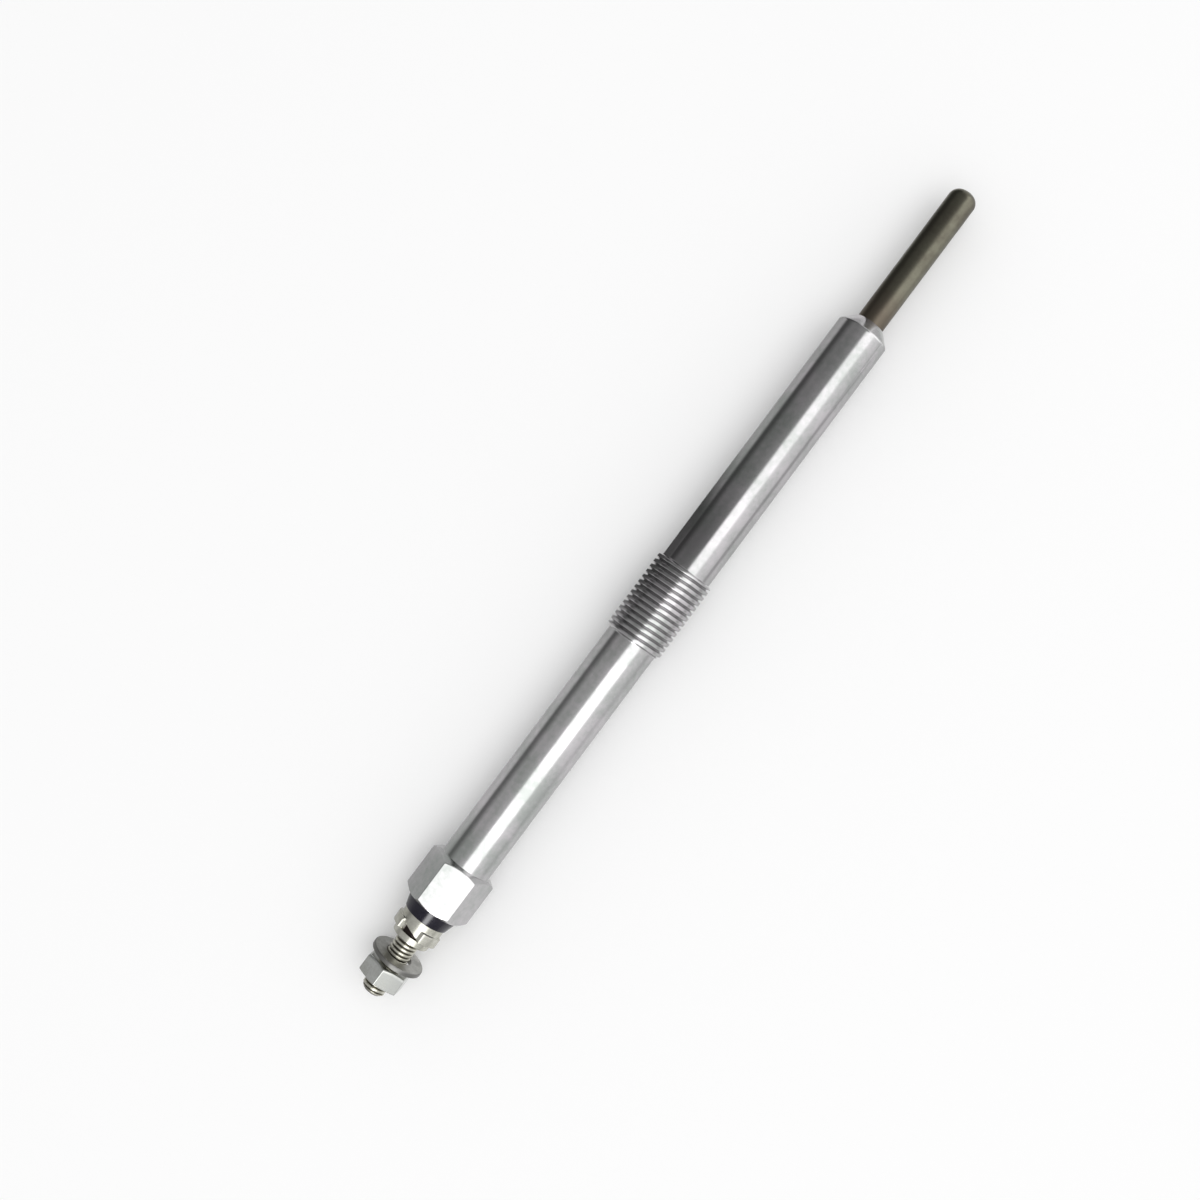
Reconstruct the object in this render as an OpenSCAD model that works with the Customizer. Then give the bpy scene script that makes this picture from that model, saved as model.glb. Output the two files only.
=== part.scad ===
// Diesel glow plug, lying on a flat of its hexagon and on its thread.
// Millimetres. +X runs along the plug to the heated tip, +Z is up and the floor is z = 0.
// Lengths along the plug are counted from the terminal side of the hexagon, towards the tip.

/* [Housing] */
// Width of the hexagon across its flats
hex_af = 10; // [9.6:0.1:12]
// Length of the hexagon with both chamfers
hex_length = 8.4; // [7:0.1:12]
// Diameter of the flat end face on the terminal side of the hexagon
hex_rear_face_d = 9.7; // [9.2:0.1:9.8]
// Diameter of the flat end face on the shank's side of the hexagon
hex_front_face_d = 9; // [8.8:0.1:9.4]
// Slope of the hexagon's chamfer on the terminal side, from the end face
hex_rear_chamfer = 35; // [20:1:45]
// Slope of the hexagon's chamfer on the shank's side, from the end face
hex_front_chamfer = 30; // [20:1:45]
// Diameter of the shank between hexagon and thread
rear_d = 8.7; // [8.2:0.1:9]
// Length of the shank between hexagon and thread
rear_length = 43.5; // [30:0.5:60]
// Outer diameter of the thread that screws into the cylinder head
thread_d = 10; // [9.4:0.1:12]
// Length of the thread with both lead-in chamfers
thread_length = 14; // [10:0.5:20]
// Diameter of the shank between thread and seat
front_d = 8.8; // [8:0.1:9]
// Length of the shank between thread and probe, with the seat
front_length = 47.4; // [40:0.2:60]
// Half angle of the conical seat
seat_angle = 55; // [45:1:65]
// Rounding between shank and seat
seat_round = 1.2; // [0.4:0.1:1.6]
// Width of the flat ring at the small end of the seat
seat_land = 0.2; // [0.1:0.05:0.4]
// Diameter of the bore around the centre rod
bore_d = 5.4; // [5:0.1:6]

/* [Heater] */
// Outer diameter of the heater sheath
sheath_d = 4.6; // [4.4:0.1:4.8]
// Wall of the heater sheath
sheath_wall = 0.5; // [0.35:0.05:0.6]
// Thickness of the closed tip of the sheath
tip_wall = 0.7; // [0.5:0.1:1]
// Rounding of the sheath's tip
tip_round = 1.6; // [1.2:0.1:2]
// Length of the sheath outside the housing
probe_length = 25; // [21:0.5:32]
// Length of the sheath pressed into the housing
press_length = 20; // [14:0.5:24]
// Length of the sheath behind its press fit
overhang_length = 2; // [1:0.5:4]
// Length of the rubber seal in the mouth of the sheath
seal_length = 3; // [2:0.5:4]
// Middle diameter of both coils
coil_d = 1.9; // [1.8:0.05:2]
// Wire of the heating coil
heating_wire = 0.44; // [0.3:0.02:0.5]
// Turns of the heating coil
heating_turns = 11; // [8:1:12]
// Rise of the heating coil in a turn
heating_pitch = 0.9; // [0.8:0.05:1.1]
// Wire of the control coil
control_wire = 0.34; // [0.24:0.02:0.4]
// Turns of the control coil
control_turns = 22; // [12:1:24]
// Rise of the control coil in a turn
control_pitch = 0.75; // [0.6:0.05:0.9]
// Length of the straight lead from the heating coil to the tip
lead_length = 2.4; // [1.8:0.1:3]

/* [Centre rod] */
// Outer diameter of the terminal thread
stud_d = 4; // [3.8:0.05:4.2]
// Length of the stud beyond the hexagon
stud_length = 16.7; // [15.6:0.1:20]
// Chamfer on the end of the stud
stud_chamfer = 0.5; // [0.2:0.1:0.8]
// Length of the stud inside the housing
stud_inside = 8; // [6:0.5:12]
// Diameter of the rod in the housing
rod_d = 3.4; // [3:0.1:3.8]
// Diameter of the rod in the sheath
rod_front_d = 2.4; // [2.2:0.1:2.6]
// Length of the rod's point inside the control coil
rod_point_length = 2.4; // [1.5:0.1:4]

/* [Terminal] */
// Thickness of the insulating bush outside the hexagon
flange_length = 2.25; // [1.2:0.05:2.5]
// Diameter of the bush where it bears on the hexagon
flange_d = 9; // [8.6:0.1:9.2]
// Diameter of the bush where the round nut bears on it
flange_end_d = 7.7; // [7.5:0.1:8.4]
// Diameter of the counterbore in the hexagon
counterbore_d = 6.8; // [6.4:0.1:7.2]
// Length of the bush inside the counterbore
spigot_length = 3.5; // [2.5:0.1:5]
// Length of the round nut
round_nut_length = 4.2; // [3.8:0.1:4.8]
// Diameter of the round nut beside the bush
round_nut_d = 7.3; // [7:0.1:7.5]
// Diameter of the round nut's outer rim
rim_d = 6.5; // [6:0.1:6.9]
// Length of the round nut's outer rim
rim_length = 1.15; // [0.8:0.05:1.4]
// Diameter of the groove behind the rim
groove_d = 5.7; // [5.2:0.1:5.9]
// Length of the groove behind the rim
groove_length = 0.9; // [0.5:0.05:1]
// Diameter over the raised pads of the round nut
pad_d = 8.1; // [7.7:0.1:8.5]
// Length of a pad
pad_length = 2.1; // [1.6:0.1:2.4]
// Distance of the pads from the bush
pad_start = 1.05; // [0.8:0.05:1.3]
// Angle that each of the three pads takes up
pad_angle = 64; // [30:2:80]
// Turn of the pads about the stud
pad_turn = -14; // [-60:1:60]
// Outer diameter of the loose washer
washer_d = 9; // [8:0.1:9.6]
// Hole of the loose washer
washer_hole_d = 4.5; // [4.48:0.02:4.8]
// Thickness of the loose washer
washer_thickness = 0.8; // [0.5:0.1:0.8]
// Distance of the washer's middle from the round nut
washer_gap = 3.5; // [2.5:0.1:3.6]
// Lean of the washer on the stud
washer_lean = 5; // [0:1:12]
// Width of the terminal nut across its flats
nut_af = 7; // [6.5:0.1:8]
// Height of the terminal nut
nut_height = 3.2; // [2.4:0.1:3.4]
// Slope of the terminal nut's chamfer on its outer end face
nut_outer_chamfer = 12; // [8:1:35]
// Slope of the terminal nut's chamfer on the washer's side
nut_inner_chamfer = 16; // [8:1:35]
// Distance of the terminal nut from the round nut
nut_gap = 5; // [4.8:0.1:5.2]
// Turn of the terminal nut on its thread
nut_turn = 53; // [0:1:60]

/* [Fits] */
// Radial gap between two threads drawn as plain cylinders
thread_gap = 0.05; // [0.02:0.01:0.06]
// Radial gap of pieces that slip together
slip_gap = 0.05; // [0.02:0.01:0.1]
// Radial gap of pieces pressed together
press_gap = 0.01; // [0:0.005:0.02]
// Gap between the coils and the powder around them
coil_gap = 0.03; // [0.02:0.01:0.05]

/* [Hidden] */
$fn = 48;
arc_steps = 8;
coil_sides = 6;
heating_steps = 14;
control_steps = 12;

// places along the plug
thread_start = hex_length + rear_length;
thread_end = thread_start + thread_length;
seat_end = thread_end + front_length;
tip_end = seat_end + probe_length;
press_start = seat_end - press_length;
sheath_start = press_start - overhang_length;
fill_start = sheath_start + seal_length;
fill_end = tip_end - tip_wall;
bush_face = -flange_length;
round_nut_face = bush_face - round_nut_length;
washer_middle = round_nut_face - washer_gap;
nut_start = round_nut_face - nut_gap;
nut_face_d = nut_af - 0.4;

// radii
rear_r = rear_d / 2;
thread_r = thread_d / 2;
front_r = front_d / 2;
sheath_r = sheath_d / 2;
fill_r = sheath_r - sheath_wall;
fill_round = min(tip_round, fill_r - 0.2);
coil_r = coil_d / 2;
stud_r = stud_d / 2;
rod_r = rod_d / 2;
rod_front_r = rod_front_d / 2;
rod_point_r = (coil_r - control_wire / 2) * cos(180 / control_steps) - press_gap;
channel_in_r = coil_r - heating_wire / 2 - coil_gap;
channel_out_r = coil_r + heating_wire / 2 + coil_gap;
counterbore_r = counterbore_d / 2;
round_nut_r = round_nut_d / 2;
washer_hole_r = washer_hole_d / 2;
washer_side = washer_hole_r - stud_r - slip_gap;
axis_height = max(hex_af, thread_d) / 2;

// seat, whose cone ends in a narrow flat ring around the sheath
land_r = sheath_r + seat_land;
seat_corner = seat_end - (front_r - land_r) / tan(seat_angle);
seat_arc_middle = [front_r - seat_round, seat_corner - seat_round * tan(seat_angle / 2)];

// o-ring in the counterbore, between its floor and the bush
ring_wire_r = (counterbore_r - stud_r) / 2 - press_gap;
ring_r = (counterbore_r + stud_r) / 2;
ring_middle = spigot_length + ring_wire_r + press_gap;
counterbore_depth = ring_middle + ring_wire_r + press_gap;

// coils, which follow each other without a break
heating_end = fill_end - lead_length;
heating_start = heating_end - heating_turns * heating_pitch;
control_start = heating_start - control_turns * control_pitch;
rod_shoulder = control_start - control_wire / 2 - coil_gap;
rod_end = rod_shoulder + rod_point_length;
bend_r = 0.5;
weld_angle = 1;

// points of an arc about a middle point, from one angle to another
function arc(middle, r, from, to) =
    [for (i = [0:arc_steps]) let (a = from + (to - from) * i / arc_steps) middle + r * [cos(a), sin(a)]];

// steps of a coil as angle, place along the plug and slope of the wire, at a constant rise
function turns(first_angle, start, count, pitch, steps) =
    [for (i = [0:count * steps])
        [first_angle + 360 * i / steps, start + pitch * i / steps, atan(pitch / (2 * PI * coil_r))]];

// the wire's bend from the end of a coil into a straight lead along the plug
function bend(first_angle, start) =
    [for (i = [1:6]) let (a = 15 * i)
        [first_angle + bend_r * sin(a) / coil_r * 180 / PI, start + bend_r * (1 - cos(a)), a]];

// one ring of points around the wire at a step of its path
function wire_ring(step, wire_r) =
    let (outwards = [cos(step[0]), sin(step[0]), 0])
    let (around = [-sin(step[0]), cos(step[0]), 0])
    let (across = [0, 0, cos(step[2])] - sin(step[2]) * around)
    [for (k = [0:coil_sides - 1]) let (a = 360 * k / coil_sides)
        coil_r * outwards + [0, 0, step[1]] + wire_r * (cos(a) * outwards + sin(a) * across)];

// lays a piece modelled along +Z down on the floor, with the tip towards +X
module lie() {
    translate([(stud_length - tip_end) / 2, 0, axis_height])
        rotate([0, 90, 0])
            children();
}

// cylinder between two places along the plug
module span(r, from, to) {
    translate([0, 0, from])
        cylinder(h = to - from, r = r);
}

// hexagon with one flat facing -X, chamfered to end faces of the given diameters and slopes
module chamfered_hexagon(af, from, to, face_d, chamfer) {
    corner_r = af / 2 / cos(30);
    face_r = face_d / 2;
    cone_r = corner_r + 0.1;
    from_drop = (cone_r - face_r[0]) * tan(chamfer[0]);
    to_drop = (cone_r - face_r[1]) * tan(chamfer[1]);
    intersection() {
        translate([0, 0, from])
            rotate([0, 0, 30])
                cylinder(h = to - from, r = corner_r, $fn = 6);
        rotate_extrude()
            polygon([
                [0, from],
                [face_r[0], from],
                [cone_r, from + from_drop],
                [cone_r, to - to_drop],
                [face_r[1], to],
                [0, to]
            ]);
    }
}

// wire swept along a path of coil steps
module wire(path, wire_r) {
    count = len(path);
    points = [for (step = path) each wire_ring(step, wire_r)];
    sides = [for (i = [0:count - 2]) for (k = [0:coil_sides - 1])
        let (a = i * coil_sides + k)
        let (b = i * coil_sides + (k + 1) % coil_sides)
        each [[a, b, b + coil_sides], [a, b + coil_sides, a + coil_sides]]];
    first = [[for (k = [coil_sides - 1:-1:0]) k]];
    last = [[for (k = [0:coil_sides - 1]) (count - 1) * coil_sides + k]];
    polyhedron(points = points, faces = concat(sides, first, last), convexity = 10);
}

// closed round end of the sheath or of its filling, from a place along the plug to its tip
module domed_span(r, from, to, round_r) {
    rotate_extrude()
        polygon(concat(
            [[0, from], [r, from]],
            arc([r - round_r, to - round_r], round_r, 0, 90),
            [[0, to]]
        ));
}

// Turned steel body: hexagon, two shanks, thread as a plain cylinder at its outer diameter, conical seat.
// Its bore steps from the bush's counterbore through the rod's bore to the sheath's press fit.
module housing() {
    color("silver")
        lie()
            difference() {
                union() {
                    chamfered_hexagon(hex_af, 0, hex_length, [hex_rear_face_d, hex_front_face_d],
                        [hex_rear_chamfer, hex_front_chamfer]);
                    rotate_extrude()
                        polygon(concat(
                            [
                                [0, hex_length / 2],
                                [rear_r, hex_length / 2],
                                [rear_r, thread_start],
                                [thread_r, thread_start + thread_r - rear_r],
                                [thread_r, thread_end - thread_r + front_r],
                                [front_r, thread_end]
                            ],
                            arc(seat_arc_middle, seat_round, 0, seat_angle),
                            [[land_r, seat_end], [0, seat_end]]
                        ));
                }
                span(counterbore_r, -1, counterbore_depth);
                span(bore_d / 2, counterbore_depth - 1, press_start);
                span(sheath_r + press_gap, press_start - 1, seat_end + 1);
            }
}

// Thin tube with a closed, rounded tip
module heater_sheath() {
    color("dimgray")
        lie()
            difference() {
                domed_span(sheath_r, sheath_start, tip_end, tip_round);
                domed_span(fill_r, sheath_start - 1, fill_end, fill_round);
            }
}

// Packed powder between sheath, rod and coils. The coils lie in a ring-shaped channel.
// A straight hole in front of the channel takes the lead.
module magnesia_fill() {
    color("white")
        lie()
            difference() {
                domed_span(fill_r - press_gap, fill_start, fill_end - press_gap, fill_round);
                span(rod_front_r + slip_gap, fill_start - 1, rod_shoulder + coil_gap);
                span(rod_point_r + press_gap, rod_shoulder, rod_end + coil_gap);
                difference() {
                    span(channel_out_r, rod_shoulder, heating_end + bend_r);
                    span(channel_in_r, rod_shoulder - 1, heating_end + bend_r + 1);
                }
                rotate([0, 0, bend_r / coil_r * 180 / PI])
                    translate([coil_r, 0, 0])
                        span((heating_wire + coil_gap) / 2, heating_end, fill_end + 1);
            }
}

// Heating coil, whose lead runs to the closed tip of the sheath
module heating_coil() {
    lead_angle = bend_r / coil_r * 180 / PI;
    dome_rise = max(0, coil_r + heating_wire / 2 - fill_r + fill_round);
    lead_end = fill_end - fill_round + sqrt(fill_round * fill_round - dome_rise * dome_rise) - press_gap;
    color("goldenrod")
        lie()
            wire(concat(
                turns(0, heating_start, heating_turns, heating_pitch, heating_steps),
                bend(0, heating_end),
                [[lead_angle, lead_end, 90]]
            ), heating_wire / 2);
}

// Control coil, from the point of the rod to the heating coil
module control_coil() {
    color("slategray")
        lie()
            wire(
                turns(-weld_angle, control_start, control_turns, control_pitch, control_steps),
                control_wire / 2
            );
}

// Rubber plug that shuts the mouth of the sheath around the rod
module sheath_seal() {
    color("black")
        lie()
            difference() {
                span(fill_r - press_gap, sheath_start, fill_start);
                span(rod_front_r + press_gap, sheath_start - 1, fill_start + 1);
            }
}

// Steel rod that carries the current: terminal stud, rod, thin front part and point for the coil
module centre_rod() {
    color("gainsboro")
        lie()
            rotate_extrude()
                polygon([
                    [0, -stud_length],
                    [stud_r - stud_chamfer, -stud_length],
                    [stud_r, stud_chamfer - stud_length],
                    [stud_r, stud_inside],
                    [rod_r, stud_inside + stud_r - rod_r],
                    [rod_r, sheath_start - 1],
                    [rod_front_r, sheath_start - 1 + rod_r - rod_front_r],
                    [rod_front_r, rod_shoulder],
                    [rod_point_r, rod_shoulder],
                    [rod_point_r, rod_end],
                    [0, rod_end]
                ]);
}

// Rubber ring between the stud and the counterbore
module o_ring() {
    color("darkslategray")
        lie()
            translate([0, 0, ring_middle])
                rotate_extrude()
                    translate([ring_r, 0])
                        circle(r = ring_wire_r);
}

// Black bush that keeps the stud off the housing, with a tapered flange outside the hexagon
module insulating_bush() {
    color("black")
        lie()
            difference() {
                union() {
                    span(counterbore_r - slip_gap, -flange_length / 2, spigot_length);
                    rotate_extrude()
                        polygon([
                            [0, bush_face],
                            [flange_end_d / 2, bush_face],
                            [flange_d / 2, 0],
                            [0, 0]
                        ]);
                }
                span(stud_r + thread_gap, bush_face - 1, spigot_length + 1);
            }
}

// Round clamp nut: plain collar against the bush, groove and rim, and three raised pads
module round_nut() {
    rim_start = round_nut_face + rim_length;
    groove_end = rim_start + groove_length;
    pad_from = bush_face - pad_start - pad_length;
    slope = (pad_d / 2 - round_nut_r) / 2;
    color("lightgray")
        lie()
            difference() {
                union() {
                    rotate_extrude()
                        polygon([
                            [0, round_nut_face],
                            [rim_d / 2, round_nut_face],
                            [rim_d / 2, rim_start],
                            [groove_d / 2, rim_start],
                            [groove_d / 2, groove_end],
                            [round_nut_r, groove_end],
                            [round_nut_r, bush_face],
                            [0, bush_face]
                        ]);
                    for (third = [0, 120, 240])
                        rotate([0, 0, pad_turn + third - pad_angle / 2])
                            rotate_extrude(angle = pad_angle)
                                polygon([
                                    [groove_d / 2 - 0.2, pad_from],
                                    [pad_d / 2 - slope, pad_from],
                                    [pad_d / 2, pad_from + slope],
                                    [pad_d / 2, pad_from + pad_length - slope],
                                    [pad_d / 2 - slope, pad_from + pad_length],
                                    [groove_d / 2 - 0.2, pad_from + pad_length]
                                ]);
                }
                span(stud_r + thread_gap, round_nut_face - 1, bush_face + 1);
            }
}

// Loose flat washer that leans on the stud, its upper edge towards the terminal nut.
// It has slipped to one side until its hole meets the stud.
module flat_washer() {
    color("darkgray")
        lie()
            translate([0, -washer_side, washer_middle])
                rotate([0, -washer_lean, 0])
                    difference() {
                        span(washer_d / 2, -washer_thickness / 2, washer_thickness / 2);
                        span(washer_hole_r, -washer_thickness, washer_thickness);
                    }
}

// Hexagon nut, chamfered on both faces, that clamps the cable lug
module terminal_nut() {
    color("lightslategray")
        lie()
            difference() {
                rotate([0, 0, 30 + nut_turn])
                    chamfered_hexagon(nut_af, nut_start - nut_height, nut_start, [nut_face_d, nut_face_d],
                        [nut_outer_chamfer, nut_inner_chamfer]);
                span(stud_r + thread_gap, nut_start - nut_height - 1, nut_start + 1);
            }
}

housing();
heater_sheath();
magnesia_fill();
heating_coil();
control_coil();
sheath_seal();
centre_rod();
o_ring();
insulating_bush();
round_nut();
flat_washer();
terminal_nut();
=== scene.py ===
import math

import bpy
import bmesh
import numpy as np
from mathutils import Matrix, Vector


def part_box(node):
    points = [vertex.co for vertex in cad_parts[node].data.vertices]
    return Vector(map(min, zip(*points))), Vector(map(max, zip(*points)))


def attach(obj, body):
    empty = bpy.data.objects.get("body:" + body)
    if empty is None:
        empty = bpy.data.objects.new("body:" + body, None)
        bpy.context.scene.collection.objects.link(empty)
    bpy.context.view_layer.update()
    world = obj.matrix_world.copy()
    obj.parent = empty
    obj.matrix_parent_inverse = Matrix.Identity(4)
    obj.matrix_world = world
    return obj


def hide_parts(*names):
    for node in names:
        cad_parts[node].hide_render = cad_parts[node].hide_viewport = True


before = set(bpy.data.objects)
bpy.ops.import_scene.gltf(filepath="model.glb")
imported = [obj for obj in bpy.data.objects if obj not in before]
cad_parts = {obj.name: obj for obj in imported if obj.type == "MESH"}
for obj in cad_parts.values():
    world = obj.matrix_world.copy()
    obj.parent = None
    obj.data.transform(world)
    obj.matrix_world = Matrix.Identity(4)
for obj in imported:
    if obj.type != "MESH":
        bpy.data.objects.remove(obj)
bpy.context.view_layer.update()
scene = bpy.context.scene
scene.view_settings.view_transform = "Standard"
mm = 0.001
sixth = math.radians(60)
third = math.radians(120)

# the plug lies along X; lengths along it count from the terminal side of the hexagon, in mm
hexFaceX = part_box("housing")[0].x / mm
axisHeight = (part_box("heater_sheath")[0].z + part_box("heater_sheath")[1].z) / 2 / mm
print("frame loaded, hexagon face at %.2f mm" % hexFaceX)


# first and last place of a node along the plug
def reach(node):
    low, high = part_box(node)
    return low.x / mm - hexFaceX, high.x / mm - hexFaceX


# mesh helpers

# guard points beside a corner, the distance that merges points (in m), rows and columns of a hexagon
# as shares of its corner, chamfer, edge and flat, and a thread's tooth: root and flank as shares of half
# a pitch, and how much of the flank's rise is rounded
meshSpec = {
    "guard": 0.04, "guardShare": 0.3, "weld": 2e-7,
    "cornerColumns": (-2.6, -1.6, -1.0, -0.5, 0.0, 0.5, 1.0, 1.6, 2.6),
    "chamferRows": (0.0, 0.05, 0.5, 0.95), "edgeRows": (0.0, 0.2, 0.4, 0.6, 0.8, 1.0), "edgeMost": 0.8,
    "flatRows": (0.01, 0.1, 0.3, 0.5, 0.7, 0.9, 0.99),
    "toothRoot": 0.06, "toothFlank": 0.46, "toothRounding": 0.65,
}


def column(values):
    return np.asarray(values, float)[:, None]


def smoothStep(x):
    x = np.clip(x, 0, 1)
    return x * x * (3 - 2 * x)


# even rows between two places; the spread is (gap at the start, gap at the end, count)
def rowsBetween(start, end, spread):
    return np.linspace(start + spread[0], end - spread[1], spread[2])


# blocks of rows one under the other, single columns spread over all columns
def stackRows(cols, *blocks):
    return np.vstack([np.broadcast_to(block, (len(block), cols)) for block in blocks])


def ringAngles(columns):
    return np.linspace(0, 2 * math.pi, columns, endpoint=False)[None]


def guardLength(left):
    return min(meshSpec["guard"], meshSpec["guardShare"] * max(left, 0))


# outline through (radius, length) points: every corner becomes an arc of its rounding, and a point
# just before and after it keeps the straight stretches flat; an open outline keeps its two ends
def softOutline(points, rounds, closed=False, steps=6):
    pts = np.array(points, float)
    ahead, behind = np.roll(pts, -1, 0) - pts, np.roll(pts, 1, 0) - pts
    k = np.linspace(0, 1, steps + 1)[:, None]
    corners = range(len(pts)) if closed else range(1, len(pts) - 1)
    out = []
    for i, rounding in zip(corners, rounds, strict=True):
        p = pts[i]
        lenU, lenV = np.linalg.norm(behind[i]), np.linalg.norm(ahead[i])
        u, v = behind[i] / lenU, ahead[i] / lenV
        half = math.acos(np.clip(u @ v, -1, 1)) / 2
        cut = rounding / math.tan(half)
        centre = p + (u + v) / np.linalg.norm(u + v) * rounding / math.sin(half)
        a, b = p + u * cut - centre, p + v * cut - centre
        omega = math.pi - 2 * half
        arc = centre + (np.sin((1 - k) * omega) * a + np.sin(k * omega) * b) / math.sin(omega)
        before = p + u * (cut + guardLength(lenU - cut))
        after = p + v * (cut + guardLength(lenV - cut))
        out.append(np.vstack([before, arc, after]))
    return np.vstack(out if closed else [pts[:1], *out, pts[-1:]])


# grid of points for radius and length per row and column, turned about the plug's axis:
# across = -radius sin(angle), up = radius cos(angle), so angle 0 is the upper side
def aroundAxis(s, r, theta):
    s, r, theta = np.broadcast_arrays(s, r, theta)
    y, z = -r * np.sin(theta), axisHeight + r * np.cos(theta)
    return np.stack([hexFaceX + s, y, z], -1) * mm


# quads over a grid that closes around its columns, and around its rows too for a tube with a wall;
# the stain value is 0 on the open surface and 1 where the finish takes its stain colour: painted shade
# in thread roots and in the round nut's slot, real heat tint on the probe and a real punched edge on the
# washer
def gridPiece(name, points, closedRows, stainAndShade=0.0):
    rows, cols = points.shape[:2]
    index = np.arange(rows * cols).reshape(rows, cols)
    right = np.roll(index, -1, 1)
    lower = index if closedRows else index[:-1]
    lowerRight = right if closedRows else right[:-1]
    upper = np.roll(index, -1, 0) if closedRows else index[1:]
    upperRight = np.roll(right, -1, 0) if closedRows else right[1:]
    faces = np.stack([lower, lowerRight, upperRight, upper], -1).reshape(-1, 4)
    mesh = bpy.data.meshes.new(name)
    mesh.from_pydata(points.reshape(-1, 3).tolist(), [], faces.tolist())
    layer = mesh.attributes.new("stainAndShade", "FLOAT", "POINT")
    layer.data.foreach_set("value", np.broadcast_to(stainAndShade, (rows, cols)).reshape(-1).astype(np.float32))
    work = bmesh.new()
    work.from_mesh(mesh)
    bmesh.ops.remove_doubles(work, verts=work.verts, dist=meshSpec["weld"])  # closes the poles
    work.to_mesh(mesh)
    work.free()
    mesh.polygons.foreach_set("use_smooth", np.ones(len(mesh.polygons), bool))
    mesh.update()
    piece = bpy.data.objects.new(name, mesh)
    scene.collection.objects.link(piece)
    return piece


# ring turned from a closed outline; an edge (radius, width) stains it from that radius outwards
def latheRing(name, points, rounds, columns, edge=None):
    wall = softOutline(points, rounds, closed=True)
    s, r = column(wall[:, 1]), column(wall[:, 0])
    stainAndShade = 0.0 if edge is None else smoothStep((r - edge[0]) / edge[1])
    return gridPiece(name, aroundAxis(s, r, ringAngles(columns)), True, stainAndShade)


# half the angle that a rounded corner of a hexagon takes, seen from the axis
def cornerAngle(apothem, rounding):
    inset = (apothem - rounding) / math.cos(sixth / 2)
    return math.atan2(rounding * math.sin(sixth / 2), inset + rounding * math.cos(sixth / 2))


# columns around a hexagon: every corner gets a tight cluster, the flats an even spread
def hexColumns(turn, corner, perFlat):
    near = corner * np.array(meshSpec["cornerColumns"])
    flat = np.linspace(near[-1], sixth + near[0], perFlat + 2)[1:-1]
    corners = turn + sixth / 2 + np.arange(6) * sixth
    return (corners[:, None] + np.concatenate([near, flat])[None]).reshape(1, -1)


# radius of a hexagon with rounded corners: apothem over cosine on the flats,
# and the far side of a small circle set in from each corner
def hexRadius(theta, turn, apothem, rounding):
    offCorner = np.mod(theta - turn, sixth) - sixth / 2
    inset = (apothem - rounding) / math.cos(sixth / 2)
    flat = apothem / np.cos(sixth / 2 - np.abs(offCorner))
    inside = np.clip(rounding ** 2 - (inset * np.sin(offCorner)) ** 2, 0, None)
    arc = inset * np.cos(offCorner) + np.sqrt(inside)
    return np.where(np.abs(offCorner) < cornerAngle(apothem, rounding), arc, flat)


# columns of a hexagon and its radius at each of them
def hexSides(spec, turn):
    theta = hexColumns(turn, cornerAngle(spec["apothem"], spec["cornerRound"]), spec["perFlat"])
    return theta, hexRadius(theta, turn, spec["apothem"], spec["cornerRound"])


# rows from an end face of a hexagon over its chamfer to the flats: the chamfer is a cone, so its
# edge bends along every flat, and a curve pulled to that edge rounds it over a share of the cone
def chamferRows(radius, faceS, faceR, inward, chamfer, edge):
    turn = math.radians(chamfer)
    drop = radius - faceR
    share = np.minimum(edge * math.cos(turn) / drop, meshSpec["edgeMost"])
    up = column(meshSpec["chamferRows"]) * (1 - share)
    t = column(meshSpec["edgeRows"])
    climb = np.vstack([up, 1 - share * (1 - t) ** 2])
    onFlat = np.vstack([0 * up, edge * t ** 2 + 0 * radius])
    return faceS + inward * (drop * math.tan(turn) * climb + onFlat), faceR + drop * climb


def hexRows(radius, start, end, faceR, chamfers, edges):
    firstS, firstR = chamferRows(radius, start, faceR[0], 1, chamfers[0], edges[0])
    lastS, lastR = chamferRows(radius, end, faceR[1], -1, chamfers[1], edges[1])
    along = column(meshSpec["flatRows"])
    flatS = firstS[-1:] + (lastS[-1:] - firstS[-1:]) * along
    return np.vstack([firstS, flatS, lastS[::-1]]), np.vstack([firstR, radius + 0 * along, lastR[::-1]])


# right-hand screw: the radius rises and falls once in a pitch, and a turn moves it on by one pitch
def screwRadius(s, theta, pitch, root, crest):
    phase = np.mod(s / pitch - theta / (2 * math.pi), 1.0)
    rise = np.clip((1 - np.abs(2 * phase - 1) - meshSpec["toothRoot"]) / meshSpec["toothFlank"], 0, 1)
    return root + (crest - root) * (rise + meshSpec["toothRounding"] * (smoothStep(rise) - rise))


# shader helpers

marksSpec = {"detail": 3.0}
patinaSpec = {
    "broadDetail": 4.0, "broadRoughness": 0.6, "fineDetail": 2.0, "fineScale": 7.3, "fineShare": 0.35,
    "cleanBelow": 0.52, "dulledAbove": 0.86,
}


def newGroup(name, inputs, outputs):
    group = bpy.data.node_groups.new(name, "ShaderNodeTree")
    for label, kind, default in inputs:
        socket = group.interface.new_socket(label, in_out="INPUT", socket_type=kind)
        socket.default_value = default
    for label, kind in outputs:
        group.interface.new_socket(label, in_out="OUTPUT", socket_type=kind)
    return group, group.nodes.new("NodeGroupInput"), group.nodes.new("NodeGroupOutput")


def wire(tree, *pairs):
    for source, target in pairs:
        tree.links.new(source, target)


def mathNode(tree, operation, *values):
    node = tree.nodes.new("ShaderNodeMath")
    node.operation = operation
    for socket, value in zip(node.inputs, values):
        if isinstance(value, (int, float)):
            socket.default_value = value
        else:
            tree.links.new(value, socket)
    return node.outputs[0]


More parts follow.
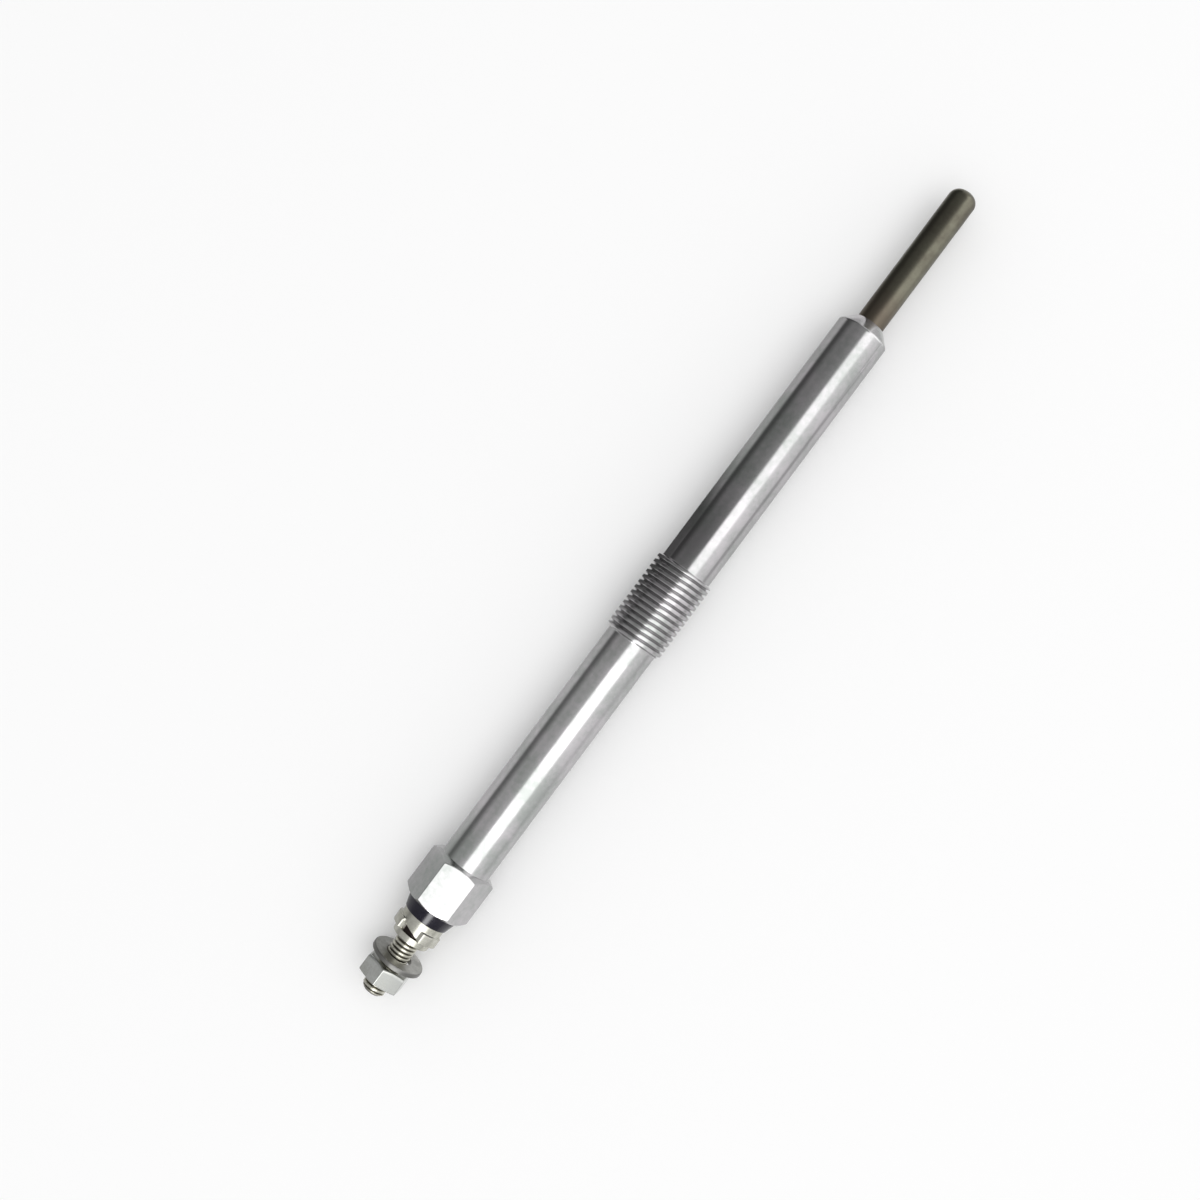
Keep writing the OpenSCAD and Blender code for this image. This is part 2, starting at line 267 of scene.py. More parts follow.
# fine marks of a tool: the height of a noise that is squeezed along one direction
def makeToolMarks(spec):
    group, given, result = newGroup(
        "toolMarks",
        [("Stretch", "NodeSocketVector", (1, 1, 1)), ("Scale", "NodeSocketFloat", 1000.0)],
        [("Height", "NodeSocketFloat")],
    )
    coords = group.nodes.new("ShaderNodeTexCoord")
    mapping = group.nodes.new("ShaderNodeMapping")
    noise = group.nodes.new("ShaderNodeTexNoise")
    noise.inputs["Detail"].default_value = spec["detail"]
    wire(
        group,
        (coords.outputs["Object"], mapping.inputs["Vector"]),
        (given.outputs["Stretch"], mapping.inputs["Scale"]),
        (mapping.outputs["Vector"], noise.inputs["Vector"]),
        (given.outputs["Scale"], noise.inputs["Scale"]),
        (noise.outputs["Fac"], result.inputs["Height"]),
    )
    return group


# patches of handling and plating: two sizes of noise blend a clean and a dulled finish
def makePatina(spec):
    group, given, result = newGroup(
        "patina",
        [
            ("Clean", "NodeSocketColor", (0.8, 0.8, 0.8, 1)),
            ("Dulled", "NodeSocketColor", (0.6, 0.6, 0.6, 1)),
            ("Patch Scale", "NodeSocketFloat", 200.0),
            ("Amount", "NodeSocketFloat", 0.5),
            ("Smooth Roughness", "NodeSocketFloat", 0.12),
            ("Dull Roughness", "NodeSocketFloat", 0.25),
        ],
        [("Color", "NodeSocketColor"), ("Roughness", "NodeSocketFloat")],
    )
    coords = group.nodes.new("ShaderNodeTexCoord")
    broad = group.nodes.new("ShaderNodeTexNoise")
    broad.inputs["Detail"].default_value = spec["broadDetail"]
    broad.inputs["Roughness"].default_value = spec["broadRoughness"]
    fine = group.nodes.new("ShaderNodeTexNoise")
    fine.inputs["Detail"].default_value = spec["fineDetail"]
    fineScale = mathNode(group, "MULTIPLY", given.outputs["Patch Scale"], spec["fineScale"])
    mixed = mathNode(group, "MULTIPLY_ADD", fine.outputs["Fac"], spec["fineShare"], broad.outputs["Fac"])
    ramp = group.nodes.new("ShaderNodeMapRange")
    ramp.inputs["From Min"].default_value = spec["cleanBelow"]
    ramp.inputs["From Max"].default_value = spec["dulledAbove"]
    mask = mathNode(group, "MULTIPLY", ramp.outputs["Result"], given.outputs["Amount"])
    tone = group.nodes.new("ShaderNodeMix")
    tone.data_type = "RGBA"
    rough = group.nodes.new("ShaderNodeMapRange")
    wire(
        group,
        (coords.outputs["Object"], broad.inputs["Vector"]),
        (coords.outputs["Object"], fine.inputs["Vector"]),
        (given.outputs["Patch Scale"], broad.inputs["Scale"]),
        (fineScale, fine.inputs["Scale"]),
        (mixed, ramp.inputs["Value"]),
        (mask, tone.inputs["Factor"]),
        (given.outputs["Clean"], tone.inputs["A"]),
        (given.outputs["Dulled"], tone.inputs["B"]),
        (mask, rough.inputs["Value"]),
        (given.outputs["Smooth Roughness"], rough.inputs["To Min"]),
        (given.outputs["Dull Roughness"], rough.inputs["To Max"]),
        (tone.outputs["Result"], result.inputs["Color"]),
        (rough.outputs["Result"], result.inputs["Roughness"]),
    )
    return group


toolMarks = makeToolMarks(marksSpec)
patina = makePatina(patinaSpec)


def placeGroup(tree, group, values):
    node = tree.nodes.new("ShaderNodeGroup")
    node.node_tree = group
    for label, value in values.items():
        node.inputs[label].default_value = value
    return node


# one finish: patina drives colour and roughness, tool marks drive the bump, and marked places take the
# look's stain colour: painted shade in the bottoms of threads and in the slot of the round nut, and real
# heat tint and a real punched edge
def makeFinish(name, look):
    material = bpy.data.materials.new(name)
    material.use_nodes = True
    tree = material.node_tree
    surface = tree.nodes["Principled BSDF"]
    surface.inputs["Metallic"].default_value = look["metallic"]
    shade = placeGroup(tree, patina, {
        "Clean": (*look["clean"], 1), "Dulled": (*look["dulled"], 1),
        "Patch Scale": look["patchScale"], "Amount": look["amount"],
        "Smooth Roughness": look["roughness"][0], "Dull Roughness": look["roughness"][1],
    })
    marks = placeGroup(tree, toolMarks, {"Stretch": look["stretch"], "Scale": look["markScale"]})
    bump = tree.nodes.new("ShaderNodeBump")
    bump.inputs["Strength"].default_value = look["bump"]
    bump.inputs["Distance"].default_value = look["bumpDepth"]
    stainAndShade = tree.nodes.new("ShaderNodeAttribute")
    stainAndShade.attribute_name = "stainAndShade"
    stainAndShadeMix = tree.nodes.new("ShaderNodeMix")
    stainAndShadeMix.data_type = "RGBA"
    stainAndShadeMix.inputs["B"].default_value = (*look.get("stainAndShade", look["dulled"]), 1)
    wire(
        tree,
        (stainAndShade.outputs["Fac"], stainAndShadeMix.inputs["Factor"]),
        (shade.outputs["Color"], stainAndShadeMix.inputs["A"]),
        (stainAndShadeMix.outputs["Result"], surface.inputs["Base Color"]),
        (shade.outputs["Roughness"], surface.inputs["Roughness"]),
        (marks.outputs["Height"], bump.inputs["Height"]),
        (bump.outputs["Normal"], surface.inputs["Normal"]),
    )
    return material


def dress(piece, material, node):
    piece.data.materials.clear()
    piece.data.materials.append(material)
    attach(piece, "root")
    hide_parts(node)


# housing: hexagon, two shanks, rolled thread and conical seat on one stepped tube;
# the fillet is (rise, length, rounding), and guards are rows close to the ends of the thread
housingSpec = {
    "apothem": 5.0, "hexLength": 8.4, "faceR": (4.85, 4.5), "chamfers": (35.0, 30.0), "edges": (0.10, 0.12),
    "cornerRound": 0.14, "perFlat": 32, "faceRows": (0.2, 0.04, 4), "rearR": 4.35, "rearLength": 43.5,
    "fillet": (0.12, 0.07, 0.06), "rearRows": (3.6, 1.0, 12), "threadLength": 14.0, "leadSlope": 1.6,
    "pitch": 1.0, "crest": 4.97, "root": 4.40, "rowsPerPitch": 13, "guards": (0.02, 0.08), "frontR": 4.4,
    "frontRows": (2.0, 3.0, 10), "seatEnd": reach("housing")[1], "seatAngle": 45.0, "landR": 2.5,
    "pressR": 2.31, "pressLength": 20.0, "boreR": 2.7, "counterboreR": 3.4, "counterboreDepth": 4.9,
    "noseRounds": (0.5, 0.05, 0.04, 0.02, 0.02, 0.02, 0.02, 0.08), "noseSteps": 8,
}
housingLook = {
    "clean": (0.580, 0.561, 0.576), "dulled": (0.428, 0.448, 0.432), "patchScale": 150.0, "amount": 1.0,
    # stain colour: painted shade for the roots of the rolled thread
    "stainAndShade": (0.400, 0.393, 0.400), "roughness": (0.13, 0.20), "metallic": 1.0,
    "stretch": (1.0, 0.06, 0.06), "markScale": 2600.0, "bump": 0.14, "bumpDepth": 0.00002,
}


def buildHousing(spec):
    theta, radius = hexSides(spec, 0.0)
    threadStart = spec["hexLength"] + spec["rearLength"]
    threadEnd = threadStart + spec["threadLength"]
    slope = math.tan(math.radians(spec["seatAngle"]))
    seatCorner = spec["seatEnd"] - (spec["frontR"] - spec["landR"]) / slope
    pressStart = spec["seatEnd"] - spec["pressLength"]
    guardNear, guardFar = spec["guards"]

    face = column(rowsBetween(spec["counterboreR"], spec["faceR"][0], spec["faceRows"]))
    hexS, hexR = hexRows(radius, 0.0, spec["hexLength"], spec["faceR"], spec["chamfers"], spec["edges"])
    rise, length, rounding = spec["fillet"]
    fillet = softOutline([
        (spec["rearR"] + rise, spec["hexLength"]),
        (spec["rearR"], spec["hexLength"] + length),
        (spec["rearR"], threadStart),
    ], [rounding])[1:-1]
    rear = column([*rowsBetween(spec["hexLength"], threadStart, spec["rearRows"]),
                   threadStart - guardFar, threadStart - guardNear])

    count = int(spec["threadLength"] / spec["pitch"] * spec["rowsPerPitch"])
    turnS = column(np.linspace(threadStart, threadEnd, count))
    lead = np.minimum(spec["rearR"] + (turnS - threadStart) * spec["leadSlope"],
                      spec["frontR"] + (threadEnd - turnS) * spec["leadSlope"])
    screw = np.minimum(screwRadius(turnS, theta, spec["pitch"], spec["root"], spec["crest"]), lead)
    depth = (np.minimum(lead, spec["crest"]) - screw) / (spec["crest"] - spec["root"])

    nose = softOutline([
        (spec["frontR"], threadEnd + guardNear),
        (spec["frontR"], seatCorner),
        (spec["landR"], spec["seatEnd"]),
        (spec["pressR"], spec["seatEnd"]),
        (spec["pressR"], pressStart),
        (spec["boreR"], pressStart),
        (spec["boreR"], spec["counterboreDepth"]),
        (spec["counterboreR"], spec["counterboreDepth"]),
        (spec["counterboreR"], 0.0),
        (spec["faceR"][0], 0.0),
    ], spec["noseRounds"], steps=spec["noseSteps"])[:-1]
    front = column([threadEnd + guardFar, *rowsBetween(threadEnd, seatCorner, spec["frontRows"])])

    s = stackRows(theta.size, 0 * face, hexS, column(fillet[:, 1]), rear, turnS,
                  column(nose[:1, 1]), front, column(nose[1:, 1]))
    r = stackRows(theta.size, face, hexR, column(fillet[:, 0]), spec["rearR"] + 0 * rear, screw,
                  column(nose[:1, 0]), spec["frontR"] + 0 * front, column(nose[1:, 0]))
    before = len(face) + len(hexS) + len(fillet) + len(rear)
    # painted shade: the thread's roots darken with their depth
    stainAndShade = np.zeros_like(r)
    stainAndShade[before:before + count] = np.clip(depth, 0, 1)
    return gridPiece("plugBody", aroundAxis(s, r, theta), True, stainAndShade)


plugBody = buildHousing(housingSpec)
dress(plugBody, makeFinish("zincPlate", housingLook), "housing")
print("housing built, %d faces" % len(plugBody.data.polygons))


# heater sheath: thin tube with a closed rounded tip, darkened by heat and tinted next to the seat
sheathSpec = {
    "outerR": 2.3, "innerR": 1.8, "reach": reach("heater_sheath"), "tipWall": 0.7,
    "rounds": (1.6, 0.05, 0.05, 1.6), "steps": 14, "rows": (2.0, 4.0, 16), "tintFrom": reach("housing")[1],
    "tintLength": 9.0, "columns": 160,
}
sheathLook = {
    "clean": (0.160, 0.156, 0.120), "dulled": (0.106, 0.096, 0.076), "patchScale": 160.0, "amount": 0.9,
    "stainAndShade": (0.142, 0.120, 0.094), "roughness": (0.30, 0.42), "metallic": 1.0,
    "stretch": (1.0, 0.15, 0.15), "markScale": 3000.0, "bump": 0.2, "bumpDepth": 0.00002,
}


def buildSheath(spec):
    start, tip = spec["reach"]
    innerTip = tip - spec["tipWall"]
    wall = softOutline([
        (0.0, innerTip),
        (spec["innerR"], innerTip),
        (spec["innerR"], start),
        (spec["outerR"], start),
        (spec["outerR"], tip),
        (0.0, tip),
    ], spec["rounds"], steps=spec["steps"])
    straight = column(rowsBetween(start, tip, spec["rows"]))
    cut = int(np.argmax(np.diff(wall[:, 1]))) + 1  # the long outer stretch gets more rows
    s = np.vstack([column(wall[:cut, 1]), straight, column(wall[cut:, 1])])
    r = np.vstack([column(wall[:cut, 0]), spec["outerR"] + 0 * straight, column(wall[cut:, 0])])
    tint = 1 - smoothStep((s - spec["tintFrom"]) / spec["tintLength"])
    return gridPiece("heaterProbe", aroundAxis(s, r, ringAngles(spec["columns"])), False, tint)


heaterProbe = buildSheath(sheathSpec)
dress(heaterProbe, makeFinish("heatDarkenedAlloy", sheathLook), "heater_sheath")
print("sheath built")


# insulating bush: tapered black flange with a spigot in the hexagon
bushSpec = {
    "reach": reach("insulating_bush"), "faceR": 3.85, "hexR": 4.5, "hexGap": 0.02, "spigotR": 3.35,
    "holeR": 2.05, "rounds": (0.05, 0.12, 0.06, 0.03, 0.1, 0.05), "columns": 160,
}
bushLook = {
    "clean": (0.006, 0.005, 0.013), "dulled": (0.012, 0.011, 0.020), "patchScale": 500.0, "amount": 0.7,
    "roughness": (0.16, 0.28), "metallic": 0.0,
    "stretch": (1.0, 1.0, 1.0), "markScale": 4000.0, "bump": 0.08, "bumpDepth": 0.00001,
}


def buildBush(spec):
    face, spigotEnd = spec["reach"]
    return latheRing("blackBush", [
        (spec["holeR"], face),
        (spec["faceR"], face),
        (spec["hexR"], -spec["hexGap"]),
        (spec["spigotR"], -spec["hexGap"]),
        (spec["spigotR"], spigotEnd),
        (spec["holeR"], spigotEnd),
    ], spec["rounds"], spec["columns"])


blackBush = buildBush(bushSpec)
dress(blackBush, makeFinish("blackInsulator", bushLook), "insulating_bush")
print("bush built")


# round nut: collar, groove and rim, with three raised pads that bridge the groove;
# from wallFrom outside the hole the rows belong to its outer side
roundNutSpec = {
    "reach": reach("round_nut"), "collarR": 3.65, "grooveR": 2.85, "rimR": 3.25, "rimLength": 1.15,
    "grooveLength": 0.9, "rounds": (0.15, 0.18, 0.10, 0.08, 0.08, 0.10, 0.10, 0.05), "rows": (0.35, 0.3, 60),
    "padR": 4.05, "padStart": 1.05, "padEnd": 3.15, "padEdge": 0.28, "padHalf": 32.0, "padSoft": 9.0,
    "padTurn": 46.0, "slotWidths": (1.60, 0.35), "slotShadeMargin": 0.05, "holeR": 2.05, "wallFrom": 0.3,
    "bevels": (0.10, 0.06), "bevelDepth": 0.1, "columns": 240,
}
roundNutLook = {
    "clean": (0.650, 0.645, 0.580), "dulled": (0.450, 0.446, 0.375), "patchScale": 260.0, "amount": 0.8,
    # stain colour: painted shade, near black, for the groove where it lies open between the pads
    "stainAndShade": (0.030, 0.024, 0.022), "roughness": (0.15, 0.30), "metallic": 1.0,
    "stretch": (1.0, 0.1, 0.1), "markScale": 3000.0, "bump": 0.15, "bumpDepth": 0.00002,
}


# rows of the nut without its pads: the outer side of its outline with more rows between the corners,
# so that the pads have something to bend, then the hole
def roundNutRows(spec, rimEnd, grooveEnd):
    outer, face = spec["reach"]
    hole = spec["holeR"]
    wall = softOutline([
        (hole, outer),
        (spec["rimR"], outer),
        (spec["rimR"], rimEnd),
        (spec["grooveR"], rimEnd),
        (spec["grooveR"], grooveEnd),
        (spec["collarR"], grooveEnd),
        (spec["collarR"], face),
        (hole, face),
    ], spec["rounds"], closed=True)
    wall = wall[wall[:, 0] > hole + spec["wallFrom"]]
    wall = wall[np.argsort(wall[:, 1], kind="stable")]
    extra = rowsBetween(outer, face, spec["rows"])
    extraR = np.interp(extra, wall[:, 1], wall[:, 0])
    wall = np.vstack([wall, np.stack([extraR, extra], -1)])
    wall = wall[np.argsort(wall[:, 1], kind="stable")]
    s = column([outer, *wall[:, 1], face, face - spec["bevelDepth"], outer + spec["bevelDepth"]])
    r = column([hole + spec["bevels"][0], *wall[:, 0], hole + spec["bevels"][1], hole, hole])
    return s, r


def buildRoundNut(spec):
    theta = ringAngles(spec["columns"])
    outer, face = spec["reach"]
    rimEnd = outer + spec["rimLength"]
    grooveEnd = rimEnd + spec["grooveLength"]
    s, r = roundNutRows(spec, rimEnd, grooveEnd)
    outside = r > spec["holeR"] + spec["wallFrom"]
    inGroove = (s > rimEnd - spec["slotShadeMargin"]) & (s < grooveEnd + spec["slotShadeMargin"])

    # between two pads the groove's rows close up, from the wide end of the slot to its narrow end,
    # and the collar's rows stretch to meet them
    padTurn, padHalf, padSoft = (math.radians(spec[key]) for key in ("padTurn", "padHalf", "padSoft"))
    fromGap = np.mod(theta - padTurn - padHalf, third)
    gap = third - 2 * padHalf
    share = np.where(fromGap < gap, fromGap / gap, 1 - smoothStep((fromGap - gap) / (2 * padHalf)))
    wide, narrow = spec["slotWidths"]
    slot = spec["grooveLength"] * (wide + (narrow - wide) * share)
    onCollar = np.clip((s - grooveEnd) / (face - grooveEnd), 0, 1)
    inSlot = np.clip((s - rimEnd) / spec["grooveLength"], 0, 1)
    bent = np.minimum(s, rimEnd) + inSlot * slot + onCollar * (face - rimEnd - slot)
    s = np.where(outside, bent, s)

    fromBush = face - s
    along = (smoothStep((fromBush - spec["padStart"]) / spec["padEdge"])
             * smoothStep((spec["padEnd"] - fromBush) / spec["padEdge"]))
    offPad = np.abs(np.mod(theta - padTurn + third / 2, third) - third / 2)
    around = smoothStep((padHalf + padSoft / 2 - offPad) / padSoft)
    r = r + (spec["padR"] - r) * along * around * outside
    # painted shade: the groove's floor between the pads darkens to near black, most where it is deepest
    slotShade = np.clip((spec["rimR"] - r) / (spec["rimR"] - spec["grooveR"]), 0, 1) * inGroove * outside
    return gridPiece("clampNut", aroundAxis(s, r, theta), True, slotShade)


clampNut = buildRoundNut(roundNutSpec)
dress(clampNut, makeFinish("warmNickel", roundNutLook), "round_nut")
print("round nut built")


# centre rod: threaded stud outside, plain rod and point inside
rodSpec = {
    "reach": reach("centre_rod"), "chamfer": 0.5, "crest": 2.0, "root": 1.58, "pitch": 0.7, "threadTo": -1.0,
    "threadGap": 0.2, "studTo": 8.0, "rodR": 1.7, "frontLength": 20.7, "frontR": 1.2, "pointLength": 2.4,
    "pointR": 0.7434, "rounds": (0.03, 0.05, 0.05, 0.05, 0.03, 0.03, 0.05), "steps": 4,
    "endRows": (0.0, 0.5, 1.0), "endGap": 0.05, "rowsPerPitch": 11, "columns": 112,
}
rodLook = {
    "clean": (0.725, 0.711, 0.629), "dulled": (0.508, 0.496, 0.423), "patchScale": 320.0, "amount": 0.8,
    # stain colour: painted shade, dark, for the roots of the stud's thread
    "stainAndShade": (0.112, 0.107, 0.092), "roughness": (0.18, 0.32), "metallic": 1.0,
    "stretch": (1.0, 0.2, 0.2), "markScale": 3000.0, "bump": 0.15, "bumpDepth": 0.00002,
}


def buildRod(spec):
    theta = ringAngles(spec["columns"])
    end, tip = spec["reach"]
    frontFrom, shoulder = tip - spec["frontLength"], tip - spec["pointLength"]
    endR = column([*spec["endRows"], spec["crest"] - spec["chamfer"] - spec["endGap"]])
    count = int((spec["threadTo"] - end) / spec["pitch"] * spec["rowsPerPitch"])
    turnS = column(np.linspace(end, spec["threadTo"], count))
    lead = spec["crest"] - spec["chamfer"] + (turnS - end)
    screw = np.minimum(screwRadius(turnS, theta, spec["pitch"], spec["root"], spec["crest"]), lead)
    depth = (spec["crest"] - screw) / (spec["crest"] - spec["root"])
    inner = softOutline([
        (spec["crest"], spec["threadTo"] + spec["threadGap"]),
        (spec["crest"], spec["studTo"]),
        (spec["rodR"], spec["studTo"] + spec["crest"] - spec["rodR"]),
        (spec["rodR"], frontFrom),
        (spec["frontR"], frontFrom + spec["rodR"] - spec["frontR"]),
        (spec["frontR"], shoulder),
        (spec["pointR"], shoulder),
        (spec["pointR"], tip),
        (0.0, tip),
    ], spec["rounds"], steps=spec["steps"])
    s = stackRows(theta.size, end + 0 * endR, turnS, column(inner[:, 1]))
    r = stackRows(theta.size, endR, screw, column(inner[:, 0]))
    # painted shade: the stud's thread roots darken with their depth
    stainAndShade = np.zeros_like(r)
    stainAndShade[len(endR):len(endR) + count] = np.clip(depth, 0, 1)
    return gridPiece("terminalRod", aroundAxis(s, r, theta), False, stainAndShade)


terminalRod = buildRod(rodSpec)
dress(terminalRod, makeFinish("studNickel", rodLook), "centre_rod")
print("centre rod built")


# loose washer: flat ring that leans on the stud with its upper edge towards the nut, and has a
# darker punched edge (radius, width)
washerSpec = {
    "outerR": 4.5, "holeR": 2.25, "thickness": 0.8, "rounds": (0.06, 0.10, 0.22, 0.12),
    "middle": sum(reach("flat_washer")) / 2, "lean": 5.0, "side": 0.20, "punchedEdge": (4.35, 0.1),
    "columns": 160,
}
washerLook = {
    "clean": (0.480, 0.478, 0.455), "dulled": (0.300, 0.298, 0.280), "patchScale": 380.0, "amount": 0.9,
    "stainAndShade": (0.210, 0.208, 0.198), "roughness": (0.33, 0.48), "metallic": 1.0,
    "stretch": (0.3, 1.0, 0.25), "markScale": 2500.0, "bump": 0.25, "bumpDepth": 0.00003,
}


def buildWasher(spec):
    half = spec["thickness"] / 2
    piece = latheRing("looseWasher", [
        (spec["holeR"], -half),
        (spec["outerR"], -half),
        (spec["outerR"], half),
        (spec["holeR"], half),
    ], spec["rounds"], spec["columns"], spec["punchedEdge"])
    origin = Vector((hexFaceX, 0, axisHeight)) * mm
    place = (Matrix.Translation(origin + Vector((spec["middle"], -spec["side"], 0)) * mm)
             @ Matrix.Rotation(-math.radians(spec["lean"]), 4, "Y") @ Matrix.Translation(-origin))
    piece.data.transform(place)
    return piece


looseWasher = buildWasher(washerSpec)
dress(looseWasher, makeFinish("punchedSteel", washerLook), "flat_washer")
print("washer built")


# terminal nut: chamfered on both faces, with a countersunk hole, one corner edge a little off the top
nutSpec = {
    "apothem": 3.5, "reach": reach("terminal_nut"), "faceR": (3.3, 3.3), "chamfers": (12.0, 16.0),
    "edges": (0.10, 0.40), "cornerRound": 0.16, "turn": 23.0, "perFlat": 26, "holeR": 2.05, "sink": 0.3,
    "sinkGap": 0.05, "faceGap": 0.04,
}
nutLook = {
    "clean": (0.660, 0.672, 0.655), "dulled": (0.520, 0.530, 0.490), "patchScale": 300.0, "amount": 0.75,
    "roughness": (0.17, 0.32), "metallic": 1.0,
    "stretch": (0.4, 1.0, 1.0), "markScale": 2600.0, "bump": 0.18, "bumpDepth": 0.00002,
}


def buildNut(spec):
    end, start = spec["reach"]
    theta, radius = hexSides(spec, math.radians(spec["turn"]))
    hexS, hexR = hexRows(radius, end, start, spec["faceR"], spec["chamfers"], spec["edges"])
    mouth = spec["holeR"] + spec["sink"]
    face = column([spec["holeR"], mouth, mouth + spec["sinkGap"], spec["faceR"][0] - spec["faceGap"]])
    sunk = column([spec["sink"], 0, 0, 0])
    s = stackRows(theta.size, end + sunk, hexS, start - sunk[::-1])
    r = stackRows(theta.size, face, hexR, face[::-1])
    return gridPiece("terminalNut", aroundAxis(s, r, theta), True)


terminalNut = buildNut(nutSpec)
dress(terminalNut, makeFinish("satinZinc", nutLook), "terminal_nut")
print("terminal nut built")


# inner pieces keep their solids and get finishes of their own
innerLooks = {
    "magnesia_fill": ("packedPowder", {
        "clean": (0.86, 0.84, 0.80), "dulled": (0.74, 0.72, 0.68), "patchScale": 900.0, "amount": 0.8,
        "roughness": (0.75, 0.95), "metallic": 0.0, "stretch": (1, 1, 1), "markScale": 6000.0,
        "bump": 0.5, "bumpDepth": 0.00005}),
    "heating_coil": ("resistanceWire", {
        "clean": (0.46, 0.42, 0.36), "dulled": (0.30, 0.27, 0.22), "patchScale": 900.0, "amount": 0.8,
        "roughness": (0.3, 0.5), "metallic": 1.0, "stretch": (1, 1, 1), "markScale": 5000.0,
        "bump": 0.2, "bumpDepth": 0.00001}),
    "control_coil": ("nickelWire", {
        "clean": (0.64, 0.61, 0.54), "dulled": (0.48, 0.45, 0.38), "patchScale": 900.0, "amount": 0.8,
        "roughness": (0.25, 0.4), "metallic": 1.0, "stretch": (1, 1, 1), "markScale": 5000.0,
        "bump": 0.2, "bumpDepth": 0.00001}),
    "sheath_seal": ("sealRubber", {
        "clean": (0.028, 0.028, 0.028), "dulled": (0.055, 0.053, 0.050), "patchScale": 700.0, "amount": 0.8,
        "roughness": (0.5, 0.7), "metallic": 0.0, "stretch": (1, 1, 1), "markScale": 5000.0,
        "bump": 0.25, "bumpDepth": 0.00002}),
    "o_ring": ("ringRubber", {
        "clean": (0.022, 0.026, 0.024), "dulled": (0.045, 0.050, 0.046), "patchScale": 600.0, "amount": 0.8,
        "roughness": (0.4, 0.6), "metallic": 0.0, "stretch": (1, 1, 1), "markScale": 5000.0,
        "bump": 0.2, "bumpDepth": 0.00002}),
}
for node, (finish, look) in innerLooks.items():
    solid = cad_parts[node]
    solid.data.materials.clear()
    solid.data.materials.append(makeFinish(finish, look))
print("inner pieces dressed")


# pale floor and one broad lamp, in m and degrees
stageSpec = {
    "floorHalf": 1.6, "floorPoints": 9, "floorTone": (0.93, 0.93, 0.93), "floorRoughness": 0.9,
    "floorSpecular": 0.1, "worldTone": 0.82,
    "lampPower": 3.5, "lampSize": (1.4, 1.1), "lampTilt": 14.0, "lampFar": 1.0,
}


def plainGrid(name, points, material):
    rows, cols = points.shape[:2]
    index = np.arange(rows * cols).reshape(rows, cols)
    faces = np.stack([index[:-1, :-1], index[1:, :-1], index[1:, 1:], index[:-1, 1:]], -1).reshape(-1, 4)
    mesh = bpy.data.meshes.new(name)
    mesh.from_pydata(points.reshape(-1, 3).tolist(), [], faces.tolist())
    mesh.materials.append(material)
    piece = bpy.data.objects.new(name, mesh)
    scene.collection.objects.link(piece)
    return piece


def buildFloor(spec):
    material = bpy.data.materials.new("paleFloor")
    material.use_nodes = True
    surface = material.node_tree.nodes["Principled BSDF"]
    surface.inputs["Base Color"].default_value = (*spec["floorTone"], 1)
    surface.inputs["Roughness"].default_value = spec["floorRoughness"]
    surface.inputs["Specular IOR Level"].default_value = spec["floorSpecular"]
    side = np.linspace(-spec["floorHalf"], spec["floorHalf"], spec["floorPoints"])
    x, y = np.meshgrid(side, side, indexing="ij")
    plainGrid("floor", np.stack([x, y, 0 * x], -1), material)


# shaded tent that only the reflections see: half a tube over the plug, with a strip along the floor
# on each side. Angles count from straight up towards the far side, in degrees, and lengths are in m.
# A place is (start, width): the effect fades in from there, to the other side if the width is negative.
# Zones lie along the plug, and a name that ends in By says what each zone adds
tentSpec = {
    "radius": 0.12, "half": 0.35, "columns": 281, "terminalColumns": (-0.13, -0.05, 161), "angles": 181,
    "stripFrom": 0.0065, "stripRows": 24, "lift": 0.0002, "inset": 0.0061, "insetReach": 0.030,
    "farDark": 0.72, "farDarkAt": (-0.030, 0.045), "farPale": 0.24, "farPaleAt": (0.016, 0.022),
    "zones": {
        "front": (-0.022, 0.020),      # from the thread on
        "probe": (0.080, 0.012),       # over the probe
        "bush": (-0.140, -0.050),      # what the bush's taper sees
        "terminal": (-0.090, -0.020),  # over stud and nuts
        "under": (-0.061, -0.001),     # beside the terminal, where the strips reach in under it
    },
}
tubeSpec = {
    "overhead": 0.68, "middle": 0.50, "middleAt": (0.0, 38.0), "horizon": 0.18, "horizonAt": (52.0, 30.0),
    "horizonBy": {"terminal": 0.28}, "near": 1.12, "nearBy": {"terminal": -0.38, "probe": 0.45},
    "nearHorizon": 0.84, "nearFall": (-42.0, -44.0), "foot": 0.12, "footBy": {"front": 0.20},
    "footAt": (-84.0, -6.0), "divide": -19.0, "sidesBy": {"bush": -0.5},
    "window": (-42.0, 4.0), "nearEdgeBy": {"probe": -45.0, "bush": 18.0},
    "farEdgeBy": {"front": -9.0, "probe": -16.0, "bush": -3.0}, "soft": 7.0, "softBy": {"front": 4.0},
    "windowTone": 2.2, "windowToneBy": {"front": -0.4, "bush": 6.5},
}
farStripSpec = {
    "tone": 0.60, "outer": 0.10, "outerAt": (0.008, 0.009), "dip": 0.82, "dipFrom": (-0.012, 0.012),
    "dipTo": (0.030, -0.016), "shareBy": {"front": -0.2}, "rear": 0.2, "rearAt": (-0.050, -0.010),
    "horizon": 0.42, "horizonAt": (0.022, 0.060), "seat": 0.75, "seatAt": (0.0525, 0.006), "seatLean": 0.22,
    "seatOff": (0.009, 0.004), "under": 0.50, "underTo": (0.010, 0.006),
}
nearStripSpec = {
    "tone": 0.70, "toneBy": {"front": -0.08}, "outer": 0.16, "outerAt": (0.007, 0.008),
    "fall": 0.12, "fallBy": {"front": 0.16}, "fallAt": (0.022, 0.025), "seat": 0.45,
    "seatAt": (0.054, 0.006), "seatOff": (0.009, 0.004), "under": 0.84, "underTo": (0.012, 0.010),
}


def fade(x, place):
    return smoothStep((x - place[0]) / place[1])


def varied(base, changes, zones):
    return base + sum(amount * zones[name] for name, amount in changes.items())


